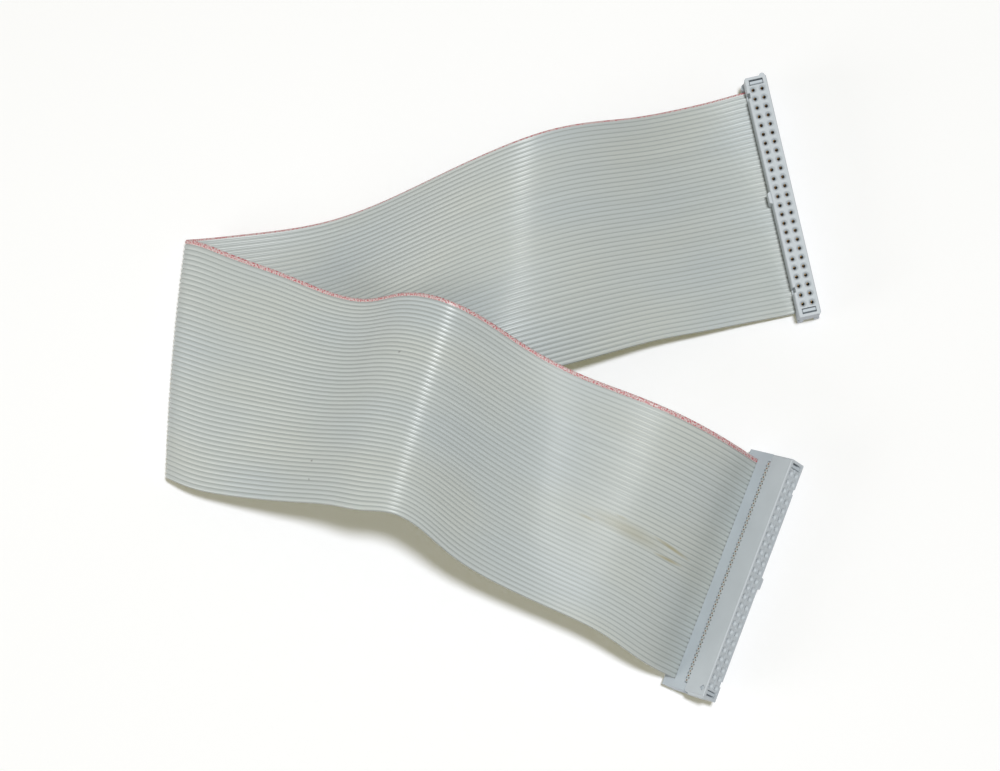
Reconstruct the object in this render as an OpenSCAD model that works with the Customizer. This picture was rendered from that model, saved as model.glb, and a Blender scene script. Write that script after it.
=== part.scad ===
// Flat ribbon cable with a 50-way press-on socket at each end.
//
// The ribbon lies folded on a table.  Its far end runs straight through the joint of a socket that
// lies on its back; its near end passes behind the cover of a second socket, wraps round it and
// comes back through that joint, held by a strain relief.
//
// Each socket is drawn in its own frame: X across it, Y along its rows towards the striped edge of
// the ribbon, Z towards the face that takes the pins, with Z = 0 on the back of its cover.

/* [Ribbon] */
// Number of conductors, an even number
ways = 50; // [10:2:64]
// Distance between neighbouring conductors
wire_pitch = 1.27; // [1.0:0.01:2.0]
// Thickness of the ribbon
ribbon_t = 0.9; // [0.6:0.05:1.2]
// Diameter of one stranded conductor
wire_d = 0.38; // [0.25:0.01:0.5]

/* [Socket] */
// Width of the socket across its two rows
socket_w = 6.1; // [5.6:0.1:8]
// Length of moulding past the ribbon's edge at each end
end_len = 2.3; // [2.2:0.1:4]
// Height of the socket body
body_h = 6.5; // [6.4:0.1:8]
// Height of the cover
cover_h = 3.4; // [2.8:0.1:5]
// Height of the strain relief
relief_h = 2.9; // [2:0.1:4]
// Distance between the two rows of holes
row_gap = 2.54; // [2.3:0.02:2.8]
// Diameter of a pin hole
hole_d = 0.95; // [0.8:0.05:1.1]
// Diameter of the lead-in round a pin hole
lead_in_d = 1.9; // [1.4:0.1:2.0]
// Wall between the mating face and the contacts
face_wall = 1.4; // [1.0:0.1:2.0]
// Radius of the cover edges that the ribbon wraps
wrap_r = 1.0; // [0.5:0.1:1.3]
// How far the polarising key stands out
key_out = 0.8; // [0.5:0.1:1.2]
// Width of the polarising key
key_w = 3.4; // [2.5:0.1:5]

/* [Contacts] */
// Thickness of the contact strip
strip_t = 0.3; // [0.2:0.05:0.4]
// Gap between a contact's two beams where they grip the pin
grip_gap = 0.54; // [0.4:0.02:0.6]
// Clearance round the contacts in the ribbon, the cover and the body
slot_gap = 0.1; // [0.05:0.01:0.12]

/* [Latches] */
// Thickness of a cover leg
leg_t = 1.0; // [0.8:0.05:1.2]
// Width of a cover leg
leg_w = 3.6; // [2.5:0.1:4]
// Clearance between the parts that latch
latch_gap = 0.15; // [0.1:0.05:0.2]

/* [Hidden] */
$fn = 24;
eps = 0.01;

ribbon_w = ways * wire_pitch;
socket_len = ribbon_w + 2 * end_len;
hole_pitch = 2 * wire_pitch;
per_row = ways / 2;
half_w = socket_w / 2;
half_len = socket_len / 2;
joint_z = cover_h + ribbon_t / 2;      // middle of the ribbon in the joint
body_z = cover_h + ribbon_t;           // lower face of the body
face_z = body_z + body_h;              // mating face
relief_z = -ribbon_t - relief_h;       // back of the strain relief
edge_cut = 0.4;                        // chamfer on the moulded edges
channel_depth = 0.2;                   // sunk strip along each row of holes
cavity_top = face_z - face_wall;
land_gap = 0.06;                       // between body and cover beyond the ribbon
nick_depth = 0.25;                     // nicks in the joint's edges, between one wire and the next
nick_w = 0.5;
lug_out = 0.8;                         // how far the far cover's finger lug stands out

// Contact: a fork that straddles one conductor, and two beams that grip a pin.
fork_half = wire_d / 2 + 0.39;
fork_slot = wire_d / 2 + 0.01;
fork_reach = ribbon_t / 2 + 0.8;       // below the conductor
beam_top = cavity_top - joint_z - 0.4;
wire_off = wire_pitch / 2;             // from a hole's middle to its conductor

// Windows for the cover's legs, at each end of the body.
leg_in = ribbon_w / 2 + latch_gap;
leg_out = leg_in + leg_t;
window_out = leg_out + 0.4;
barb_z = face_z - 2.2;
recess_in = leg_out + latch_gap;       // ends of the cover, where the strain relief clips on
clip_w = 2.8;
clip_top = 2.6;

// Where the sockets lie.
far_turn = [2.5, -4, 0];
near_turn = [0, 50, -33.4];
far_lift = half_len * sin(far_turn[0]) + half_w * sin(-far_turn[1]);
near_lift = half_w * sin(near_turn[1]) - edge_cut * cos(near_turn[1]);
far_at = [89.2, 49, far_lift];
near_at = [48, -46.5, near_lift];
shift = [-0.34, -0.68, 0];             // puts the whole cable's middle over the origin

// Route of the ribbon between the sockets: control points of its striped edge, middle and other edge.
route = [
    [[76, 80, 6], [77, 48.5, 5.5], [78, 17, 5]],
    [[65, 79.5, 7], [67, 48, 7.5], [69, 17, 6]],
    [[53, 78, 13], [55.5, 47, 12], [58, 16.5, 9]],
    [[41, 77, 22.5], [43.5, 46.5, 17.5], [46, 16.5, 12]],
    [[28, 76, 28], [30, 45.5, 24.5], [33, 15, 14.5]],
    [[12, 73.5, 26.5], [14, 43.5, 28.5], [16.5, 13.5, 18]],
    [[-4, 72.5, 14.5], [-3, 42, 24], [-1, 12, 22]],
    [[-19, 71, 4.5], [-19, 40.5, 15], [-18.5, 9.5, 20]],
    [[-34, 69.5, 1], [-34, 39, 7], [-34.5, 8.5, 15.5]],
    [[-48, 70, 1], [-48.5, 38.5, 3], [-49, 7.5, 9]],
    [[-60, 71, 2], [-61, 38.5, 2], [-62, 7, 4]],
    [[-68, 71.5, 3], [-71, 39, 1.5], [-73.5, 8, 1.5]],
    [[-73, 72, 4], [-80, 39.5, 2], [-84.5, 9, 1]],
    [[-74.5, 71.5, 7], [-85, 40, 5.5], [-92.5, 8.5, 4]],
    [[-70.5, 70, 9.5], [-81, 37.5, 9.5], [-90.5, 7, 8]],
    [[-61, 62.5, 12], [-73, 32, 12], [-84.5, 2, 12]],
    [[-50, 56, 13], [-62, 26.5, 15], [-74.5, -2.5, 18]],
    [[-38.5, 47, 14.5], [-51, 20.5, 20], [-64, -7, 26]],
    [[-28, 41, 19.5], [-41.5, 16, 27], [-55, -10.5, 34]],
    [[-20, 40.5, 28], [-34, 13.5, 35], [-47.5, -13.5, 41]],
    [[-12.5, 37, 35.5], [-27, 10.5, 41], [-41, -17.5, 46.5]],
    [[-4.5, 32, 36.5], [-19.5, 6, 43], [-33, -19, 48.5]],
    [[3.5, 26, 30], [-12, 0, 37.5], [-26.5, -24.5, 45.5]],
    [[12, 17.5, 26], [-4.5, -7, 30], [-20.5, -33, 37]],
    [[24, 8, 25.5], [6.5, -16.5, 25], [-10, -41.5, 30]],
    [[36, 0.5, 27], [18, -25.5, 26], [2, -50, 27]],
    [[48, -8, 26.5], [30, -34, 26], [14, -58.5, 26.5]],
    [[57.5, -15, 20], [39.5, -41.5, 20], [22, -67.5, 20]]
];
ring_steps = 2;                        // rings per station
across_steps = 6;                      // facets across the ribbon
seat = 0.3;                            // how far the swept run reaches into each socket
skin = 0.02;                           // the swept run is this much thinner on each face there
lead_out = 3;                          // straight stretch outside each socket

// ---- Points placed as the sockets are ----

function about_x(p, a) = [p[0], p[1] * cos(a) - p[2] * sin(a), p[1] * sin(a) + p[2] * cos(a)];
function about_y(p, a) = [p[0] * cos(a) + p[2] * sin(a), p[1], p[2] * cos(a) - p[0] * sin(a)];
function about_z(p, a) = [p[0] * cos(a) - p[1] * sin(a), p[0] * sin(a) + p[1] * cos(a), p[2]];
function turned(p, r) = about_z(about_y(about_x(p, r[0]), r[1]), r[2]);
function on_far(p) = far_at + turned(p, far_turn);
function on_near(p) = near_at + turned(p - [0, 0, relief_z], near_turn);

module at_far() translate(shift + far_at) rotate(far_turn) children();
module at_near() translate(shift + near_at) rotate(near_turn) translate([0, 0, -relief_z]) children();

// ---- Ribbon ----

run_w = ribbon_w / 2 - skin;
far_station = function(x) [for (y = [run_w, 0, -run_w]) on_far([x, y, joint_z])];
near_station = function(x) [for (y = [run_w, 0, -run_w]) on_near([x, y, -ribbon_t / 2])];
stations = concat(
    [far_station(seat - half_w), far_station(-half_w - lead_out)],
    route,
    [near_station(-half_w - lead_out), near_station(seat - half_w)]
);

// Cubic B-spline: it bends evenly and only leans towards its control points.
function spline(a, b, c, d, t) =
    (a * pow(1 - t, 3) + b * (3 * pow(t, 3) - 6 * t * t + 4)
     + c * (3 * t + 3 * t * t - 3 * pow(t, 3) + 1) + d * pow(t, 3)) / 6;
function station(i) =
    i < 0 ? 2 * stations[0] - stations[1]
    : i < len(stations) ? stations[i]
    : 2 * stations[len(stations) - 1] - stations[len(stations) - 2];
function line_across(u) =
    let (i = min(floor(u), len(stations) - 2), t = u - i)
    [for (k = [0:2]) spline(station(i - 1)[k], station(i)[k], station(i + 1)[k], station(i + 2)[k], t)];
function middle_surface(u, s) =
    let (l = line_across(u))
    l[0] * (1 - s) * (1 - 2 * s) + l[1] * 4 * s * (1 - s) + l[2] * s * (2 * s - 1);
function unit(v) = v / norm(v);
function face_normal(u, s) =
    let (d = 0.02, last = len(stations) - 1,
         along = middle_surface(min(u + d, last), s) - middle_surface(max(u - d, 0), s),
         over = middle_surface(u, min(s + d, 1)) - middle_surface(u, max(s - d, 0)))
    unit(cross(over, along));

// Free run: one closed skin, a ring of points at each step along the route.
module swept_run() {
    rings = (len(stations) - 1) * ring_steps;
    side = across_steps + 1;
    ring = 2 * side;
    half_t = ribbon_t / 2 - skin;
    points = [
        for (i = [0:rings]) let (u = i / ring_steps) each concat(
            [for (j = [0:across_steps]) let (s = j / across_steps)
                middle_surface(u, s) + half_t * face_normal(u, s)],
            [for (j = [across_steps:-1:0]) let (s = j / across_steps)
                middle_surface(u, s) - half_t * face_normal(u, s)]
        )
    ];
    walls = [
        for (i = [0:rings - 1], j = [0:ring - 1])
            let (a = i * ring + j, b = i * ring + (j + 1) % ring)
            each [[a, a + ring, b], [b, a + ring, b + ring]]
    ];
    caps = [
        for (j = [0:across_steps - 1]) let (a = j, b = ring - 1 - j, top = rings * ring)
            each [[a, a + 1, b], [a + 1, b - 1, b],
                  [top + a, top + b, top + a + 1], [top + a + 1, top + b, top + b - 1]]
    ];
    translate(shift) polyhedron(points = points, faces = concat(walls, caps));
}

// Extrudes a profile drawn in X and Z along the rows.
module along_rows(length) {
    translate([0, length / 2, 0]) rotate([90, 0, 0]) linear_extrude(length) children();
}

// Outline of the cover's wrapped edges, grown outwards by a thickness.
module wrap_outline(grow) {
    round_x = half_w - wrap_r;
    translate([-half_w, -grow]) square([half_w + round_x, cover_h + 2 * grow]);
    translate([0, wrap_r]) square([half_w + grow, cover_h - 2 * wrap_r]);
    for (z = [wrap_r, cover_h - wrap_r]) translate([round_x, z]) circle(wrap_r + grow);
}

module wrap_profile() {
    difference() {
        wrap_outline(ribbon_t);
        wrap_outline(0);
        translate([-socket_w, 0]) square([socket_w, cover_h]);
    }
}

function wire_y(k) = (ways - 1) / 2 * wire_pitch - k * wire_pitch;
function hole_y(j) = (per_row - 1) / 2 * hole_pitch - j * hole_pitch;

module wires(length, from_x) {
    for (k = [0:ways - 1])
        translate([from_x, wire_y(k), joint_z]) rotate([0, 90, 0]) cylinder(h = length, d = wire_d);
}

// Cuts that the forks make: one slot round each fork, in the ribbon and in the cover behind it.
module fork_slots(low, high) {
    for (row = [1, -1], j = [0:per_row - 1])
        translate([row * row_gap / 2, hole_y(j) + row * wire_off, (low + high) / 2])
            cube([strip_t + slot_gap, 2 * fork_half + slot_gap, high - low], center = true);
}

module ribbon() {
    color([0.72, 0.74, 0.73]) {
        difference() {
            union() {
                swept_run();
                at_far() translate([0, 0, joint_z]) cube([socket_w, ribbon_w, ribbon_t], center = true);
                at_near() along_rows(ribbon_w) wrap_profile();
            }
            at_far() wires(socket_w + 2 * eps, -half_w - eps);
            at_far() fork_slots(cover_h - eps, body_z + eps);
            at_near() wires(socket_w - wrap_r + eps, -half_w - eps);
            at_near() fork_slots(cover_h - eps, body_z + eps);
        }
    }
}

module far_conductor_ends() {
    color([0.72, 0.45, 0.25]) at_far() wires(socket_w, -half_w);
}

module near_conductor_ends() {
    color([0.72, 0.45, 0.25]) at_near() wires(socket_w - wrap_r, -half_w);
}

// ---- Contacts ----

// Flat outline of one contact: Y along the row from its hole, Z from the conductor's middle.
module contact_outline() {
    c = wire_off;
    grip = grip_gap / 2;
    beam = grip + 0.36;
    root = grip + 0.1;
    polygon([
        [c - fork_half, 0.6], [c - fork_half, -fork_reach + 0.35], [c - fork_half + 0.15, -fork_reach],
        [c - fork_slot, -fork_reach + 0.7], [c - fork_slot, wire_d / 2 + 0.1],
        [c + fork_slot, wire_d / 2 + 0.1], [c + fork_slot, -fork_reach + 0.7],
        [c + fork_half - 0.15, -fork_reach], [c + fork_half, -fork_reach + 0.35], [c + fork_half, 1.5],
        [beam, 2.1], [beam, beam_top - 0.6], [beam - 0.1, beam_top], [root, beam_top],
        [grip, beam_top - 0.8], [root, beam_top - 1.8], [root, 2.3],
        [-root, 2.3], [-root, beam_top - 1.8], [-grip, beam_top - 0.8], [-root, beam_top],
        [0.1 - beam, beam_top], [-beam, beam_top - 0.6], [-beam, 1.1]
    ]);
}

// One row of contacts; row is 1 for the odd conductors and -1 for the even ones.
module contact_row(row) {
    color([0.83, 0.68, 0.35])
        for (j = [0:per_row - 1])
            translate([row * row_gap / 2 - strip_t / 2, hole_y(j), joint_z])
                rotate([90, 0, 90]) linear_extrude(strip_t) scale([row, 1]) contact_outline();
}

// ---- Socket mouldings ----

// One cavity: Y range wide enough for the fork's shoulder and both beams.
module contact_cavity(row) {
    low = -(grip_gap / 2 + 0.36) - slot_gap;
    high = wire_off + fork_half + slot_gap;
    wide = 1.0;
    translate([-wide / 2, row > 0 ? low : -high, body_z - eps])
        cube([wide, high - low, cavity_top - body_z + eps]);
}

// Nicks between the wires along one edge of the joint; cut is 1 upwards and -1 downwards.
module nicks(edge_z, cut) {
    translate([0, 0, edge_z]) rotate([90, 0, 90]) linear_extrude(socket_w + 1, center = true)
        for (k = [1:ways - 1])
            translate([wire_y(k) + wire_off, 0])
                polygon([[-nick_w / 2, -cut * eps], [nick_w / 2, -cut * eps], [0, cut * nick_depth]]);
}

module pin_hole() {
    cone_h = (lead_in_d - hole_d) / 2;
    floor_z = face_z - channel_depth;
    translate([0, 0, cavity_top - eps]) cylinder(h = face_wall + 2 * eps, d = hole_d);
    translate([0, 0, floor_z - cone_h]) cylinder(h = cone_h + eps, d1 = hole_d, d2 = lead_in_d + 2 * eps);
}

module body_block() {
    intersection() {
        translate([0, 0, body_z]) linear_extrude(body_h)
            polygon([
                [-half_w, -half_len + edge_cut], [edge_cut - half_w, -half_len],
                [half_w - edge_cut, -half_len], [half_w, -half_len + edge_cut],
                [half_w, half_len - edge_cut], [half_w - edge_cut, half_len],
                [edge_cut - half_w, half_len], [-half_w, half_len - edge_cut]
            ]);
        along_rows(socket_len + 1)
            polygon([
                [-half_w, body_z], [half_w, body_z], [half_w, face_z - edge_cut / 2],
                [half_w - edge_cut / 2, face_z], [edge_cut / 2 - half_w, face_z],
                [-half_w, face_z - edge_cut / 2]
            ]);
    }
}

// The key is on the -X side; a socket the other way round is turned half a turn.
module socket_body() {
    notch_w = 1.5;
    notch_depth = 0.7;
    notch_ys = [29, -26.3] * ribbon_w / 63.5;
    stud_r = 0.8;                      // round stud on the end wall
    stud_z = body_z + 1;
    mark = 1.2;                        // diamond cut in the face's edge beside the first hole
    difference() {
        union() {
            body_block();
            translate([-half_w, 0, body_z + 0.8]) linear_extrude(body_h - 0.8)
                polygon([[eps, -key_w / 2], [eps, key_w / 2], [-key_out, key_w / 2 - 0.3],
                         [-key_out, 0.3 - key_w / 2]]);
            translate([half_w - stud_r - 0.3, half_len - 0.2, stud_z])
                cylinder(h = face_z - stud_z, r = stud_r);
        }
        nicks(body_z, 1);
        for (row = [1, -1]) {
            translate([row * row_gap / 2, 0, face_z])
                cube([lead_in_d + 0.2, per_row * hole_pitch + 0.4, 2 * channel_depth], center = true);
            for (j = [0:per_row - 1]) translate([row * row_gap / 2, hole_y(j), 0]) {
                contact_cavity(row);
                pin_hole();
            }
        }
        for (side = [1, -1]) {
            translate([0, side * (leg_in + leg_out) / 2, (body_z + face_z) / 2])
                cube([leg_w + 2 * latch_gap, leg_t + 2 * latch_gap, body_h + 1], center = true);
            translate([0, side * (leg_in + window_out) / 2, face_z])
                cube([leg_w + 2 * latch_gap, window_out - leg_in, 2 * (face_z - barb_z)], center = true);
        }
        translate([half_w, half_len - end_len, face_z - mark]) rotate([45, 0, 0]) cube(mark, center = true);
        for (y = notch_ys)
            translate([-half_w - eps, y - notch_w / 2, body_z + 1.6])
                cube([notch_depth + eps, notch_w, body_h]);
    }
}

// A leg rises from each end of the cover through the body and hooks over a ledge in its window.
module cover_leg() {
    tip = face_z - 0.15;
    barb = 0.3;
    translate([-leg_w / 2, 0, 0]) rotate([90, 0, 90]) linear_extrude(leg_w)
        polygon([
            [leg_in, cover_h - eps], [leg_out, cover_h - eps], [leg_out, barb_z + 0.05],
            [leg_out + barb, barb_z + 0.05], [leg_out + barb, barb_z + 0.5], [leg_out - 0.1, tip],
            [leg_in + 0.2, tip], [leg_in, tip - 0.3]
        ]);
}

// A low land at each end of the cover meets the body beyond the ribbon.
module socket_cover(lug = false) {
    clip_cut = clip_w + 2 * latch_gap;
    lug_r = (half_len - leg_in) / 2;
    difference() {
        union() {
            along_rows(socket_len) wrap_outline(0);
            for (side = [0, 180]) rotate([0, 0, side]) cover_leg();
            for (y = [leg_in, -half_len]) translate([-half_w, y, cover_h - eps])
                cube([socket_w - wrap_r, half_len - leg_in, ribbon_t - land_gap + eps]);
            if (lug) translate([lug_r - lug_out - half_w, half_len - lug_r, 0])
                cylinder(h = body_z - land_gap, r = lug_r);
        }
        fork_slots(joint_z - fork_reach - slot_gap, cover_h + eps);
        nicks(cover_h, -1);
        for (side = [1, -1]) {
            translate([0, side * (recess_in + half_len + 1) / 2, cover_h / 2])
                cube([clip_cut, half_len + 1 - recess_in, cover_h + 1], center = true);
            translate([0, side * (recess_in + half_len + 1) / 2 - side * 0.4, clip_top - 0.5])
                cube([clip_cut, half_len + 1 - recess_in, 1.2], center = true);
        }
    }
}

// Clamps the ribbon to the back of the cover; its two clips reach up beside the cover's legs.
module strain_relief() {
    barb = 0.25;
    difference() {
        union() {
            along_rows(socket_len)
                polygon([
                    [edge_cut - half_w, relief_z], [half_w - edge_cut, relief_z],
                    [half_w, relief_z + edge_cut], [half_w, 0], [-half_w, 0],
                    [-half_w, relief_z + edge_cut]
                ]);
            for (side = [0, 180]) rotate([0, 0, side])
                translate([-clip_w / 2, 0, 0]) rotate([90, 0, 90]) linear_extrude(clip_w)
                    polygon([
                        [recess_in + latch_gap, -eps], [half_len, -eps], [half_len, clip_top],
                        [recess_in + latch_gap + 0.2, clip_top],
                        [recess_in + latch_gap - barb, clip_top - 0.4],
                        [recess_in + latch_gap, clip_top - 0.8]
                    ]);
        }
        translate([0, 0, -ribbon_t / 2])
            cube([2 * socket_w, ribbon_w, ribbon_t + 2 * eps], center = true);
    }
}

plastic = [0.70, 0.74, 0.76];

module far_socket_body() color(plastic) at_far() socket_body();
module far_socket_cover() color(plastic) at_far() socket_cover(lug = true);
module far_contacts_odd() at_far() contact_row(1);
module far_contacts_even() at_far() contact_row(-1);
module near_socket_body() color(plastic) at_near() rotate([0, 0, 180]) socket_body();
module near_socket_cover() color(plastic) at_near() socket_cover();
module near_strain_relief() color(plastic) at_near() strain_relief();
module near_contacts_odd() at_near() contact_row(1);
module near_contacts_even() at_near() contact_row(-1);

ribbon();
far_conductor_ends();
near_conductor_ends();
far_socket_body();
far_socket_cover();
far_contacts_odd();
far_contacts_even();
near_socket_body();
near_socket_cover();
near_strain_relief();
near_contacts_odd();
near_contacts_even();
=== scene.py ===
# %% [markdown]
# # A flat ribbon cable with two press-on sockets
#
# Fifty grey wires lie side by side in one ribbon. Each end is pressed into a two-row socket. The sockets are hard
# mouldings, so their CAD meshes stay and only get a finish. The ribbon is soft, so it is made again here, with its
# ribs.

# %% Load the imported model
from math import cos, pi, radians, sin

import bmesh
import bpy
from mathutils import Euler, Matrix, Vector


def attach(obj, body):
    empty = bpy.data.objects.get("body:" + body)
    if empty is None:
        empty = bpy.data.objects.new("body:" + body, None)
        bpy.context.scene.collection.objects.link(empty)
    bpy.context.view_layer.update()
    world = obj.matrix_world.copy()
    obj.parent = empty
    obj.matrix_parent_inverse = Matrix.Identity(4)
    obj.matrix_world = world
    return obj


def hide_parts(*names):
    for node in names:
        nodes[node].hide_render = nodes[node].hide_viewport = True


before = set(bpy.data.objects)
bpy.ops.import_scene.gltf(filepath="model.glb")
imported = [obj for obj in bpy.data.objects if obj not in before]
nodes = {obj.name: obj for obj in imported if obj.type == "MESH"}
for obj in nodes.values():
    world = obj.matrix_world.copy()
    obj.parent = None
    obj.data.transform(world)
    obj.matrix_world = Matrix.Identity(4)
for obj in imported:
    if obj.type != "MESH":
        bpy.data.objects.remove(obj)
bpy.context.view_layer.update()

print("CAD nodes:", ", ".join(sorted(nodes)))

# %% [markdown]
# ## The camera
#
# A small object on a table is usually looked at from high up and a little in front. A long lens from 0.7 m keeps the
# two sockets at nearly the same scale. The camera is only aimed, and never rolled, so its sides stay level.

# %% Camera
CAMERA_PLACE = Vector((-0.02313, -0.10465, 0.68937))
CAMERA_TARGET = Vector((0.00204, 0.01427, 0))

camera = bpy.data.objects.new("camera", bpy.data.cameras.new("camera"))
camera.data.sensor_width = 36
camera.data.lens = 91.7
camera.location = CAMERA_PLACE
camera.rotation_mode = "QUATERNION"
camera.rotation_quaternion = (CAMERA_TARGET - CAMERA_PLACE).to_track_quat("-Z", "Y")
bpy.context.scene.collection.objects.link(camera)
bpy.context.scene.camera = camera
print("camera is", round((CAMERA_TARGET - CAMERA_PLACE).length, 3), "m from what it looks at")

# %% [markdown]
# ## Where the sockets lie
#
# The ribbon starts in one socket and ends in the other, so their places come first. Each socket has its own frame: X
# across it, Y along its rows and Z towards the pins. A matrix turns a point of that frame into a point on the table.

# %% Frames of the two sockets
MM = 0.001
PITCH = 1.27 * MM                 # from one wire to the next
WAYS = 50
RIBBON_W = WAYS * PITCH
HALF_SOCKET = 3.05 * MM
COVER_H = 3.4 * MM
RIBBON_T = 0.9 * MM
RELIEF_DEPTH = 3.8 * MM           # relief and ribbon behind the near socket's cover
SHIFT = Vector((-0.34, -0.68, 0)) * MM


def place(at, turn, lift=0.0):
    turned = Euler([radians(a) for a in turn]).to_matrix().to_4x4()
    return Matrix.Translation(SHIFT + Vector(at) * MM) @ turned @ Matrix.Translation((0, 0, lift))


# The far socket lies on its back, tipped a little both ways. The near one lies on its side, on a rounded edge. Each
# is lifted until its lowest corner touches the table. These lengths are in millimetres, and the angles in degrees.
half_length, half_width, edge = 34.05, 3.05, 0.4
far_tip, far_roll, near_roll, near_turn = 2.5, 4, 50, 33.4
far_lift = half_length * sin(radians(far_tip)) + half_width * sin(radians(far_roll))
near_lift = half_width * sin(radians(near_roll)) - edge * cos(radians(near_roll))
far_socket = place((89.2, 49, far_lift), (far_tip, -far_roll, 0))
near_socket = place((48, -46.5, near_lift), (0, near_roll, -near_turn), RELIEF_DEPTH)
print("far socket at", far_socket.translation, "near socket at", near_socket.translation)

# %% [markdown]
# ## The ribbon's route
#
# A ribbon bends easily across its width and hardly at all in its own plane. It can be drawn with three lines: its
# striped edge, its middle and its other edge. Each row below is one station with those three points. Along the
# ribbon they are the control points of a cubic B-spline, which bends evenly and only leans towards them. Across it, a
# parabola joins the three points.

# %% Stations
ROUTE = [
    [(76, 80, 6), (77, 48.5, 5.5), (78, 17, 5)],
    [(65, 79.5, 7), (67, 48, 7.5), (69, 17, 6)],
    [(53, 78, 13), (55.5, 47, 12), (58, 16.5, 9)],
    [(41, 77, 22.5), (43.5, 46.5, 17.5), (46, 16.5, 12)],
    [(28, 76, 28), (30, 45.5, 24.5), (33, 15, 14.5)],
    [(12, 73.5, 26.5), (14, 43.5, 28.5), (16.5, 13.5, 18)],
    [(-4, 72.5, 14.5), (-3, 42, 24), (-1, 12, 22)],
    [(-19, 71, 4.5), (-19, 40.5, 15), (-18.5, 9.5, 20)],
    [(-34, 69.5, 1), (-34, 39, 7), (-34.5, 8.5, 15.5)],
    [(-48, 70, 1), (-48.5, 38.5, 3), (-49, 7.5, 9)],
    [(-60, 71, 2), (-61, 38.5, 2), (-62, 7, 4)],
    [(-68, 71.5, 3), (-71, 39, 1.5), (-73.5, 8, 1.5)],
    [(-73, 72, 4), (-80, 39.5, 2), (-84.5, 9, 1)],
    [(-74.5, 71.5, 7), (-85, 40, 5.5), (-92.5, 8.5, 4)],
    [(-70.5, 70, 9.5), (-81, 37.5, 9.5), (-90.5, 7, 8)],
    [(-61, 62.5, 12), (-73, 32, 12), (-84.5, 2, 12)],
    [(-50, 56, 13), (-62, 26.5, 15), (-74.5, -2.5, 18)],
    [(-38.5, 47, 14.5), (-51, 20.5, 20), (-64, -7, 26)],
    [(-28, 41, 19.5), (-41.5, 16, 27), (-55, -10.5, 34)],
    [(-20, 40.5, 28), (-34, 13.5, 35), (-47.5, -13.5, 41)],
    [(-12.5, 37, 35.5), (-27, 10.5, 41), (-41, -17.5, 46.5)],
    [(-4.5, 32, 36.5), (-19.5, 6, 43), (-33, -19, 48.5)],
    [(3.5, 26, 30), (-12, 0, 37.5), (-26.5, -24.5, 45.5)],
    [(12, 17.5, 26), (-4.5, -7, 30), (-20.5, -33, 37)],
    [(24, 8, 25.5), (6.5, -16.5, 25), (-10, -41.5, 30)],
    [(36, 0.5, 27), (18, -25.5, 26), (2, -50, 27)],
    [(48, -8, 26.5), (30, -34, 26), (14, -58.5, 26.5)],
    [(57.5, -15, 20), (39.5, -41.5, 20), (22, -67.5, 20)],
]
LEAD_OUT = 3 * MM                 # straight stretch outside each socket
SEAT = 0.3 * MM                   # the free run starts this far inside a socket
JOINT_Z = COVER_H + RIBBON_T / 2  # middle of the ribbon where a socket's joint holds it


def across_socket(socket, x, z):
    return [socket @ Vector((x, y, z)) for y in (RIBBON_W / 2, 0, -RIBBON_W / 2)]


stations = [across_socket(far_socket, SEAT - HALF_SOCKET, JOINT_Z),
            across_socket(far_socket, -HALF_SOCKET - LEAD_OUT, JOINT_Z)]
stations += [[Vector(p) * MM + SHIFT for p in row] for row in ROUTE]
stations += [across_socket(near_socket, -HALF_SOCKET - LEAD_OUT, -RIBBON_T / 2),
             across_socket(near_socket, SEAT - HALF_SOCKET, -RIBBON_T / 2)]
print(len(stations), "stations")

# %% [markdown]
# ## Lines across the ribbon
#
# The ribbon's skin needs the place and the heading of the middle surface at many lines across it. On the free run
# they come from the spline. Inside the sockets they are straight lines: through the far joint, and on the near socket
# round the cover's two edges and back through its joint.

# %% Lines across the free run
STEPS = 5                         # lines from one station to the next


def spline(a, b, c, d, t):
    near = b * (3 * t ** 3 - 6 * t ** 2 + 4) + c * (3 * t + 3 * t ** 2 - 3 * t ** 3 + 1)
    return (a * (1 - t) ** 3 + near + d * t ** 3) / 6


def spline_slope(a, b, c, d, t):
    return (-a * (1 - t) ** 2 + b * (3 * t ** 2 - 4 * t) + c * (1 + 2 * t - 3 * t ** 2) + d * t ** 2) / 2


def free_line(i, t):
    before = stations[i - 1] if i else [2 * p - q for p, q in zip(stations[0], stations[1])]
    after = stations[i + 2] if i + 2 < len(stations) else [2 * p - q for p, q in zip(stations[-1], stations[-2])]
    rails = list(zip(before, stations[i], stations[i + 1], after))
    return [spline(*r, t) for r in rails], [spline_slope(*r, t) for r in rails]


last = len(stations) - 2
lines = [free_line(i, k / STEPS) for i in range(last + 1) for k in range(STEPS)] + [free_line(last, 1.0)]
print(len(lines), "lines on the free run")

# %% Lines inside the sockets
WRAP_R = 1.0 * MM                 # radius of the cover's edges
CUT_BACK = 0.05 * MM              # the insulation ends this much short of the copper at each cut
ARC_STEPS = 6


def socket_line(socket, x, z, heading):
    along = (socket.to_3x3() @ Vector(heading)).normalized()
    return across_socket(socket, x, z), [along] * 3


cut = HALF_SOCKET - CUT_BACK
start = [socket_line(far_socket, x, JOINT_Z, (-1, 0, 0)) for x in (cut, 0)]

bend_x = HALF_SOCKET - WRAP_R
bend_r = WRAP_R + RIBBON_T / 2
end = [socket_line(near_socket, 0, -RIBBON_T / 2, (1, 0, 0))]
for middle_z, first in ((WRAP_R, -90), (COVER_H - WRAP_R, 0)):
    for k in range(ARC_STEPS + 1):
        a = radians(first + 90 * k / ARC_STEPS)
        x, z = bend_x + bend_r * cos(a), middle_z + bend_r * sin(a)
        end.append(socket_line(near_socket, x, z, (-sin(a), 0, cos(a))))
end += [socket_line(near_socket, x, JOINT_Z, (-1, 0, 0)) for x in (0, -cut)]
lines = start + lines + end

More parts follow.
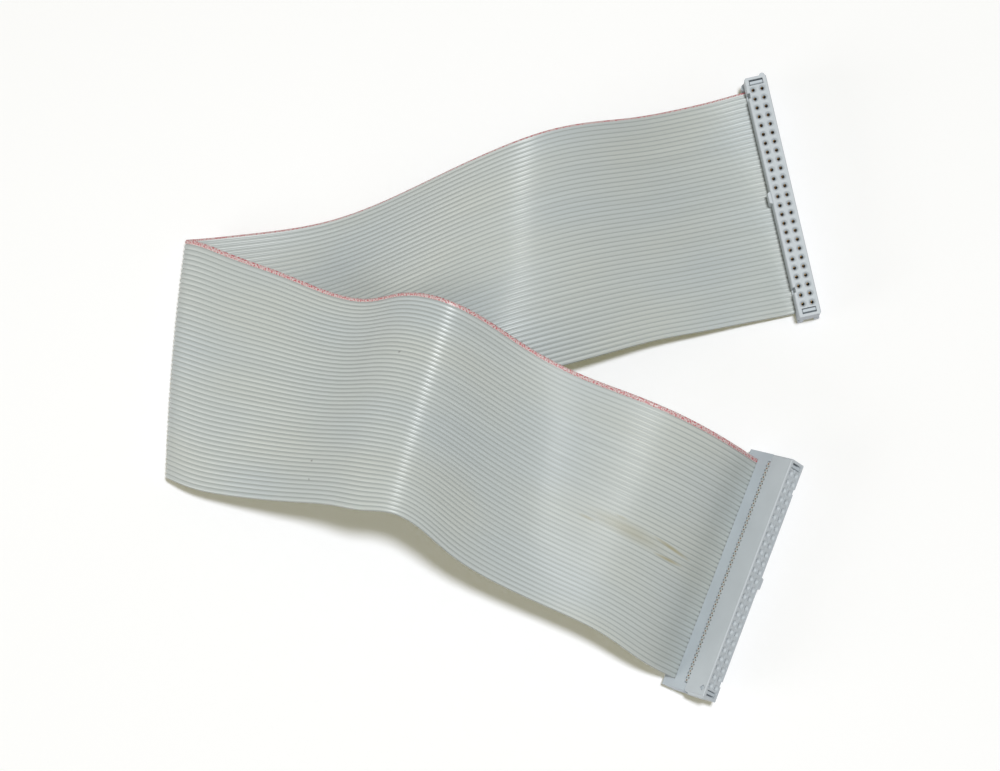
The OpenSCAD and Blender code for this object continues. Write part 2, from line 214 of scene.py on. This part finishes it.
middle = [points[1] for points, _ in lines]
lengths = [0.0]
for a, b in zip(middle, middle[1:]):
    lengths.append(lengths[-1] + (b - a).length)
print(len(lines), "lines,", round(lengths[-1], 4), "m along the middle")

# %% [markdown]
# ## The ribbon's section
#
# Each wire is a round lobe of plastic, and a thin web joins it to the next. Five points a side draw one lobe, and
# smooth shading makes them round. The list below runs across the top once, as distance from the edge and half the
# thickness there. The ring round the ribbon is that list, and then the same list back along the underside.

# %% Section points
LOBE = [(-0.635, 0.17), (-0.40, 0.25), (-0.13, 0.43), (0.13, 0.43), (0.40, 0.25)]   # millimetres
section = [((k + 0.5) * PITCH + x * MM, h * MM) for k in range(WAYS) for x, h in LOBE]
section.append((RIBBON_W, LOBE[0][1] * MM))
ring = [(v, h) for v, h in section] + [(v, -h) for v, h in reversed(section)]
print(len(ring), "points in a ring")


def skin_point(line, v, h):
    (a, b, c), (da, db, dc) = line
    s = v / RIBBON_W
    place_on = a * (1 - s) * (1 - 2 * s) + b * 4 * s * (1 - s) + c * s * (2 * s - 1)
    along = da * (1 - s) * (1 - 2 * s) + db * 4 * s * (1 - s) + dc * s * (2 * s - 1)
    over = a * (4 * s - 3) + b * (4 - 8 * s) + c * (4 * s - 1)
    return place_on + over.cross(along).normalized() * h


# %% [markdown]
# ## The ribbon's skin
#
# A curve with a bevel can't carry a section that stays flat, so the skin is a grid, which an operator makes. One side
# of the grid goes round the section and the other goes along the ribbon. Every vertex is moved to its place on the
# skin, the seam is merged, and a face closes each cut end. One UV map counts real lengths, for the finish, and the
# other fits them into a square.

# %% Skin
around, along_count = len(ring), len(lines) - 1
bm = bmesh.new()
bm.loops.layers.uv.new("along_across")
bmesh.ops.create_grid(bm, x_segments=around, y_segments=along_count, size=1)
map_layer = bm.loops.layers.uv["along_across"]
bake_layer = bm.loops.layers.uv.new("OFBake")
ROUND = 2 * RIBBON_W              # once round the ribbon, both faces
spot_of = {v: (round((v.co.x + 1) / 2 * around), round((v.co.y + 1) / 2 * along_count)) for v in bm.verts}
for face in bm.faces:
    for loop in face.loops:
        i, j = spot_of[loop.vert]
        v = ring[i % around][0]
        round_it = v if i < len(section) else ROUND - v
        if i == around:
            round_it = ROUND
        loop[map_layer].uv = (lengths[j], round_it)
        loop[bake_layer].uv = (lengths[j] / lengths[-1], round_it / ROUND)
for vert, (i, j) in spot_of.items():
    vert.co = skin_point(lines[j], *ring[i % around])
bmesh.ops.remove_doubles(bm, verts=bm.verts, dist=1e-8)
open_edges = [e for e in bm.edges if e.is_boundary]
ends = bmesh.ops.holes_fill(bm, edges=open_edges)["faces"]
for e in open_edges:
    e.smooth = False
bmesh.ops.triangulate(bm, faces=ends)
bmesh.ops.recalc_face_normals(bm, faces=bm.faces)
for face in bm.faces:
    face.smooth = True
ribbon_mesh = bpy.data.meshes.new("flat_cable")
bm.to_mesh(ribbon_mesh)
bm.free()
ribbon = bpy.data.objects.new("flat_cable", ribbon_mesh)
bpy.context.scene.collection.objects.link(ribbon)
print(len(ribbon_mesh.polygons), "faces on the ribbon")

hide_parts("ribbon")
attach(ribbon, "root")

# %% [markdown]
# ## Helpers for the finishes
#
# Colours are written as the hex values of a colour picker, and one function turns them to linear light. The other
# function adds a shader node: its settings, and for each input a number or the output that feeds it.

# %% Colour and node helpers
def linear(code):
    parts = [int(code[i:i + 2], 16) / 255 for i in (1, 3, 5)]
    return [c / 12.92 if c <= 0.04045 else ((c + 0.055) / 1.055) ** 2.4 for c in parts] + [1.0]


def add(tree, kind, inputs=None, **settings):
    made = tree.nodes.new(kind)
    for name, value in settings.items():
        setattr(made, name, value)
    for name, value in (inputs or {}).items():
        if isinstance(value, bpy.types.NodeSocket):
            tree.links.new(value, made.inputs[name])
        else:
            made.inputs[name].default_value = value
    return made


def new_finish(name):
    finish = bpy.data.materials.new(name)
    finish.use_nodes = True
    finish.node_tree.nodes.clear()
    return finish, finish.node_tree


print("a mid grey is", [round(c, 3) for c in linear("#808080")])

# %% [markdown]
# ## Extruded PVC for the ribbon
#
# The insulation is soft PVC, extruded round all fifty wires at once. It has a silky gloss with long fine die lines,
# shade is painted into its grooves as a darker colour, and the ink stripe on the first wire is broken up by the
# rollers
# that print it. The ribbon has been used: a liquid has dried on it near one socket, and a few specks of dirt stick to
# it.

# %% Extruded PVC
pvc, tree = new_finish("extruded_pvc")
cable_map = add(tree, "ShaderNodeUVMap", uv_map="along_across").outputs["UV"]
# In these coordinates X is millimetres along the ribbon and Y is wires, counted round it.
wires = add(tree, "ShaderNodeMapping", {"Vector": cable_map, "Scale": (1 / MM, 1 / PITCH, 1)}).outputs["Vector"]
wire_no = add(tree, "ShaderNodeSeparateXYZ", {"Vector": wires}).outputs["Y"]

# Painted groove shade: 0 on the crown of a lobe, 1 in the web between two, where the colour is darkened to stand in
# for shade.
in_wire = add(tree, "ShaderNodeMath", {0: wire_no}, operation="FRACT").outputs[0]
from_crown = add(tree, "ShaderNodeMath", {0: in_wire, 1: 0.5}, operation="SUBTRACT").outputs[0]
off_crown = add(tree, "ShaderNodeMath", {0: from_crown}, operation="ABSOLUTE").outputs[0]
painted_groove_shade = add(tree, "ShaderNodeMapRange", {"Value": off_crown, "From Min": 0.30, "From Max": 0.46}).outputs[0]

# Tone: slow drifts along the ribbon, a little apart from wire to wire, over broad cooler and warmer areas.
drift = add(tree, "ShaderNodeMapping", {"Vector": wires, "Scale": (0.02, 0.9, 1)}).outputs["Vector"]
tone = add(tree, "ShaderNodeTexNoise", {"Vector": drift, "Scale": 1.0, "Detail": 3.0}).outputs["Fac"]
body = add(tree, "ShaderNodeMix", {"Factor": tone, 6: linear("#B6BAB7"), 7: linear("#C8CCC9")},
           data_type="RGBA").outputs[2]
broad = add(tree, "ShaderNodeMapping", {"Vector": wires, "Scale": (0.025, 0.06, 1)}).outputs["Vector"]
warmth = add(tree, "ShaderNodeTexNoise", {"Vector": broad, "Scale": 1.0, "Detail": 1.0}).outputs["Fac"]
tint = add(tree, "ShaderNodeMapRange", {"Value": warmth, "From Min": 0.35, "From Max": 0.65}).outputs[0]
cast = add(tree, "ShaderNodeMix", {"Factor": tint, 6: linear("#F9FCFF"), 7: linear("#FFFFFC")},
           data_type="RGBA").outputs[2]
tinted = add(tree, "ShaderNodeMix", {"Factor": 1.0, 6: body, 7: cast}, data_type="RGBA",
             blend_type="MULTIPLY").outputs[2]
# Painted shade: the colour darkens towards a deeper grey in the web between lobes.
shaded = add(tree, "ShaderNodeMix", {"Factor": painted_groove_shade, 6: tinted, 7: linear("#9EA3A0")}, data_type="RGBA").outputs[2]

# Stains are faint ochre patches drawn out along the ribbon, with thin streaks in its grooves, and specks are dots of
# dirt. Each row is the middle, in millimetres along and in wires, the half lengths both ways, the turn in degrees and
# the strength.
STAINS = [
    ((334.0, 26.7), (13.0, 2.4), 3.0, 0.45),
    ((347.3, 25.9), (8.0, 0.5), 4.0, 1.0),
    ((347.3, 28.4), (6.0, 0.5), -2.0, 1.0),
    ((322.5, 27.9), (3.0, 0.4), 0.0, 0.55),
    ((331.0, 24.8), (2.5, 0.4), 0.0, 0.5),
]
SPECKS = [
    ((238.7, 40.5), (0.5, 0.35), 0.0, 0.7),
    ((239.6, 44.8), (0.4, 0.3), 0.0, 0.6),
    ((258.1, 14.3), (0.5, 0.4), 0.0, 0.7),
]


def patches(tree, vector, rows):
    mask = 0.0
    for (mm, wire), (half_mm, half_wires), turn, strength in rows:
        spot = add(tree, "ShaderNodeMapping", {"Vector": vector, "Location": (mm, wire, 0),
                                               "Rotation": (0, 0, radians(turn)),
                                               "Scale": (half_mm, half_wires, 1)}, vector_type="TEXTURE")
        away = add(tree, "ShaderNodeVectorMath", {0: spot.outputs["Vector"]}, operation="LENGTH").outputs["Value"]
        patch = add(tree, "ShaderNodeMapRange", {"Value": away, "From Min": 1.0, "From Max": 0.2,
                                                 "To Max": strength}).outputs[0]
        mask = add(tree, "ShaderNodeMath", {0: patch, 1: mask}, operation="MAXIMUM").outputs[0]
    return mask


stained = patches(tree, wires, STAINS)
ochre = add(tree, "ShaderNodeMix", {"Factor": stained, 6: shaded, 7: linear("#A5A086")}, data_type="RGBA").outputs[2]
dotted = patches(tree, wires, SPECKS)
soiled = add(tree, "ShaderNodeMix", {"Factor": dotted, 6: ochre, 7: linear("#6A6764")}, data_type="RGBA").outputs[2]

# Ink stripe: nearly the whole first wire on one face and only its flank on the other. The ink sits in specks on a
# pink haze. The widths are in wires.
STRIPE_FACE, STRIPE_FLANK = 0.86, 0.42
on_face = add(tree, "ShaderNodeMath", {0: wire_no, 1: STRIPE_FACE}, operation="LESS_THAN").outputs[0]
on_flank = add(tree, "ShaderNodeMath", {0: wire_no, 1: 2 * WAYS - STRIPE_FLANK}, operation="GREATER_THAN").outputs[0]
striped = add(tree, "ShaderNodeMath", {0: on_face, 1: on_flank}, operation="MAXIMUM").outputs[0]
ink_grain = add(tree, "ShaderNodeMapping", {"Vector": wires, "Scale": (2.2, 2.8, 1)}).outputs["Vector"]
mottle = add(tree, "ShaderNodeTexNoise", {"Vector": ink_grain, "Scale": 1.0, "Detail": 2.0}).outputs["Fac"]
inked = add(tree, "ShaderNodeMapRange", {"Value": mottle, "From Min": 0.46, "From Max": 0.60}).outputs[0]
ink_colour = add(tree, "ShaderNodeMix", {"Factor": inked, 6: linear("#D0BDBA"), 7: linear("#B8585E")},
                 data_type="RGBA").outputs[2]
printed = add(tree, "ShaderNodeMix", {"Factor": striped, 6: soiled, 7: ink_colour}, data_type="RGBA").outputs[2]

# Die lines along the ribbon, drawn 0.2 mm apart so that they show.
die = add(tree, "ShaderNodeMapping", {"Vector": wires, "Scale": (0.05, 6.0, 1)}).outputs["Vector"]
die_lines = add(tree, "ShaderNodeTexNoise", {"Vector": die, "Scale": 1.0, "Detail": 2.0}).outputs["Fac"]
relief = add(tree, "ShaderNodeBump", {"Height": die_lines, "Strength": 0.15, "Distance": 0.00005}).outputs["Normal"]
gloss = add(tree, "ShaderNodeMapRange", {"Value": die_lines, "To Min": 0.27, "To Max": 0.40}).outputs[0]
shader = add(tree, "ShaderNodeBsdfPrincipled", {"Base Color": printed, "Roughness": gloss, "Normal": relief,
                                                "IOR": 1.53})
add(tree, "ShaderNodeOutputMaterial", {"Surface": shader.outputs[0]})
ribbon_mesh.materials.append(pvc)
print(pvc.name, "has", len(tree.nodes), "nodes")

# %% [markdown]
# ## Moulded polyester for the sockets
#
# The sockets are injection moulded in glass-filled polyester. The mould is spark eroded, which leaves a fine satin
# grain, and the short glass fibres cloud the colour a little. The covers come from another batch, and are a little
# bluer.

# %% Moulded polyester
def moulded(name, darker, lighter):
    finish, tree = new_finish(name)
    place_in = add(tree, "ShaderNodeTexCoord").outputs["Object"]
    cloud = add(tree, "ShaderNodeTexNoise", {"Vector": place_in, "Scale": 140.0, "Detail": 3.0}).outputs["Fac"]
    colour = add(tree, "ShaderNodeMix", {"Factor": cloud, 6: linear(darker), 7: linear(lighter)},
                 data_type="RGBA").outputs[2]
    grain = add(tree, "ShaderNodeTexNoise", {"Vector": place_in, "Scale": 4000.0, "Detail": 2.0}).outputs["Fac"]
    eroded = add(tree, "ShaderNodeBump", {"Height": grain, "Strength": 0.25, "Distance": 0.00004}).outputs["Normal"]
    satin = add(tree, "ShaderNodeMapRange", {"Value": cloud, "To Min": 0.45, "To Max": 0.60}).outputs[0]
    shader = add(tree, "ShaderNodeBsdfPrincipled", {"Base Color": colour, "Roughness": satin, "Normal": eroded,
                                                    "IOR": 1.57})
    add(tree, "ShaderNodeOutputMaterial", {"Surface": shader.outputs[0]})
    print(finish.name, "has", len(tree.nodes), "nodes")
    return finish


polyester = moulded("moulded_polyester", "#B5BBBF", "#C0C6CA")
cover_polyester = moulded("cover_polyester", "#AFB7BD", "#BBC3C9")

# %% [markdown]
# ## Phosphor bronze and copper
#
# The contacts are stamped from phosphor bronze strip, which is rolled and so has fine lines. The wires are cut
# through at each socket, and the bundle of copper strands shows there as a brown dot.

# %% Phosphor bronze
bronze, tree = new_finish("stamped_phosphor_bronze")
place_in = add(tree, "ShaderNodeTexCoord").outputs["Object"]
rolled = add(tree, "ShaderNodeMapping", {"Vector": place_in, "Scale": (900, 900, 9000)}).outputs["Vector"]
lines_in = add(tree, "ShaderNodeTexNoise", {"Vector": rolled, "Scale": 1.0, "Detail": 2.0}).outputs["Fac"]
colour = add(tree, "ShaderNodeMix", {"Factor": lines_in, 6: linear("#6E573A"), 7: linear("#866A45")},
             data_type="RGBA").outputs[2]
brightness = add(tree, "ShaderNodeMapRange", {"Value": lines_in, "To Min": 0.25, "To Max": 0.40}).outputs[0]
shader = add(tree, "ShaderNodeBsdfPrincipled", {"Base Color": colour, "Roughness": brightness, "Metallic": 1.0})
add(tree, "ShaderNodeOutputMaterial", {"Surface": shader.outputs[0]})

# %% Stranded copper
copper, tree = new_finish("stranded_copper")
place_in = add(tree, "ShaderNodeTexCoord").outputs["Object"]
# Seven strands of 0.127 mm make one wire.
strands = add(tree, "ShaderNodeTexVoronoi", {"Vector": place_in, "Scale": 1 / (0.127 * MM)}).outputs["Distance"]
colour = add(tree, "ShaderNodeMix", {"Factor": strands, 6: linear("#B5764C"), 7: linear("#4E3527")},
             data_type="RGBA").outputs[2]
dull = add(tree, "ShaderNodeMapRange", {"Value": strands, "To Min": 0.35, "To Max": 0.6}).outputs[0]
shader = add(tree, "ShaderNodeBsdfPrincipled", {"Base Color": colour, "Roughness": dull, "Metallic": 1.0})
add(tree, "ShaderNodeOutputMaterial", {"Surface": shader.outputs[0]})

# %% Give the CAD nodes their finishes
for name, node in nodes.items():
    if name == "ribbon":
        continue
    finish = polyester
    if "contacts" in name:
        finish = bronze
    elif "conductor" in name:
        finish = copper
    elif "cover" in name or "relief" in name:
        finish = cover_polyester
    node.data.materials.clear()
    node.data.materials.append(finish)
    print(name, "is", finish.name)

# %% [markdown]
# ## Table, lamps and sky
#
# The table is a plain pale sheet that is much larger than the cable. Its diffuse part keeps the shadows, and a
# little glow that only the camera and reflections see lifts the open table to white. A small lamp nearly overhead
# gives each wave of the ribbon a crisp edge of shadow, a broad weak one on the left shapes the waves, and an even
# sky fills the shadows.

# %% Table
TABLE = 6.0
bm = bmesh.new()
bmesh.ops.create_grid(bm, x_segments=1, y_segments=1, size=TABLE / 2)
table_mesh = bpy.data.meshes.new("table")
bm.to_mesh(table_mesh)
bm.free()
table = bpy.data.objects.new("table", table_mesh)
bpy.context.scene.collection.objects.link(table)

paper, tree = new_finish("white_table")
seen = add(tree, "ShaderNodeLightPath")
to_eye = add(tree, "ShaderNodeMath", {0: seen.outputs["Is Camera Ray"], 1: seen.outputs["Is Glossy Ray"]},
             operation="MAXIMUM").outputs[0]
sheet = add(tree, "ShaderNodeBsdfDiffuse", {"Color": (0.92, 0.92, 1.0, 1)}).outputs[0]
glow = add(tree, "ShaderNodeEmission", {"Color": (0.12, 0.11, 0.03, 1), "Strength": to_eye}).outputs[0]
both = add(tree, "ShaderNodeAddShader", {0: sheet, 1: glow}).outputs[0]
add(tree, "ShaderNodeOutputMaterial", {"Surface": both})
table_mesh.materials.append(paper)

# %% Lamps
def soft_lamp(name, at, size, watts, colour):
    lamp = bpy.data.objects.new(name, bpy.data.lights.new(name, "AREA"))
    lamp.data.shape = "DISK"
    lamp.data.size = size
    lamp.data.energy = watts
    lamp.data.color = colour
    lamp.location = at
    lamp.rotation_mode = "QUATERNION"
    lamp.rotation_quaternion = (-Vector(at)).to_track_quat("-Z", "Y")
    bpy.context.scene.collection.objects.link(lamp)
    print(name, "gives", round(watts / (pi * Vector(at).length) ** 2, 2), "of the light on a sheet that faces it")


soft_lamp("top_lamp", (0.096, -0.029, 1.2), 0.12, 10.6, (0.955, 0.98, 1.0))
soft_lamp("side_lamp", (-1.1, -0.15, 0.35), 0.7, 3.2, (1.0, 0.98, 0.92))

# %% Sky
world = bpy.data.worlds.new("even_sky")
bpy.context.scene.world = world
world.use_nodes = True
tree = world.node_tree
tree.nodes.clear()
seen = add(tree, "ShaderNodeLightPath")
mirrored = add(tree, "ShaderNodeMath", {0: seen.outputs["Is Glossy Ray"], 1: seen.outputs["Is Transmission Ray"]},
               operation="MAXIMUM").outputs[0]
shown = add(tree, "ShaderNodeMath", {0: seen.outputs["Is Camera Ray"], 1: mirrored}, operation="MAXIMUM").outputs[0]
fill = add(tree, "ShaderNodeBackground", {"Color": (1.0, 0.97, 0.84, 1), "Strength": 0.19}).outputs[0]
white = add(tree, "ShaderNodeBackground", {"Color": (1, 1, 1, 1), "Strength": 1.0}).outputs[0]
mixed = add(tree, "ShaderNodeMixShader", {"Fac": shown, 1: fill, 2: white}).outputs[0]
add(tree, "ShaderNodeOutputWorld", {"Surface": mixed})
bpy.context.scene.view_settings.view_transform = "Standard"
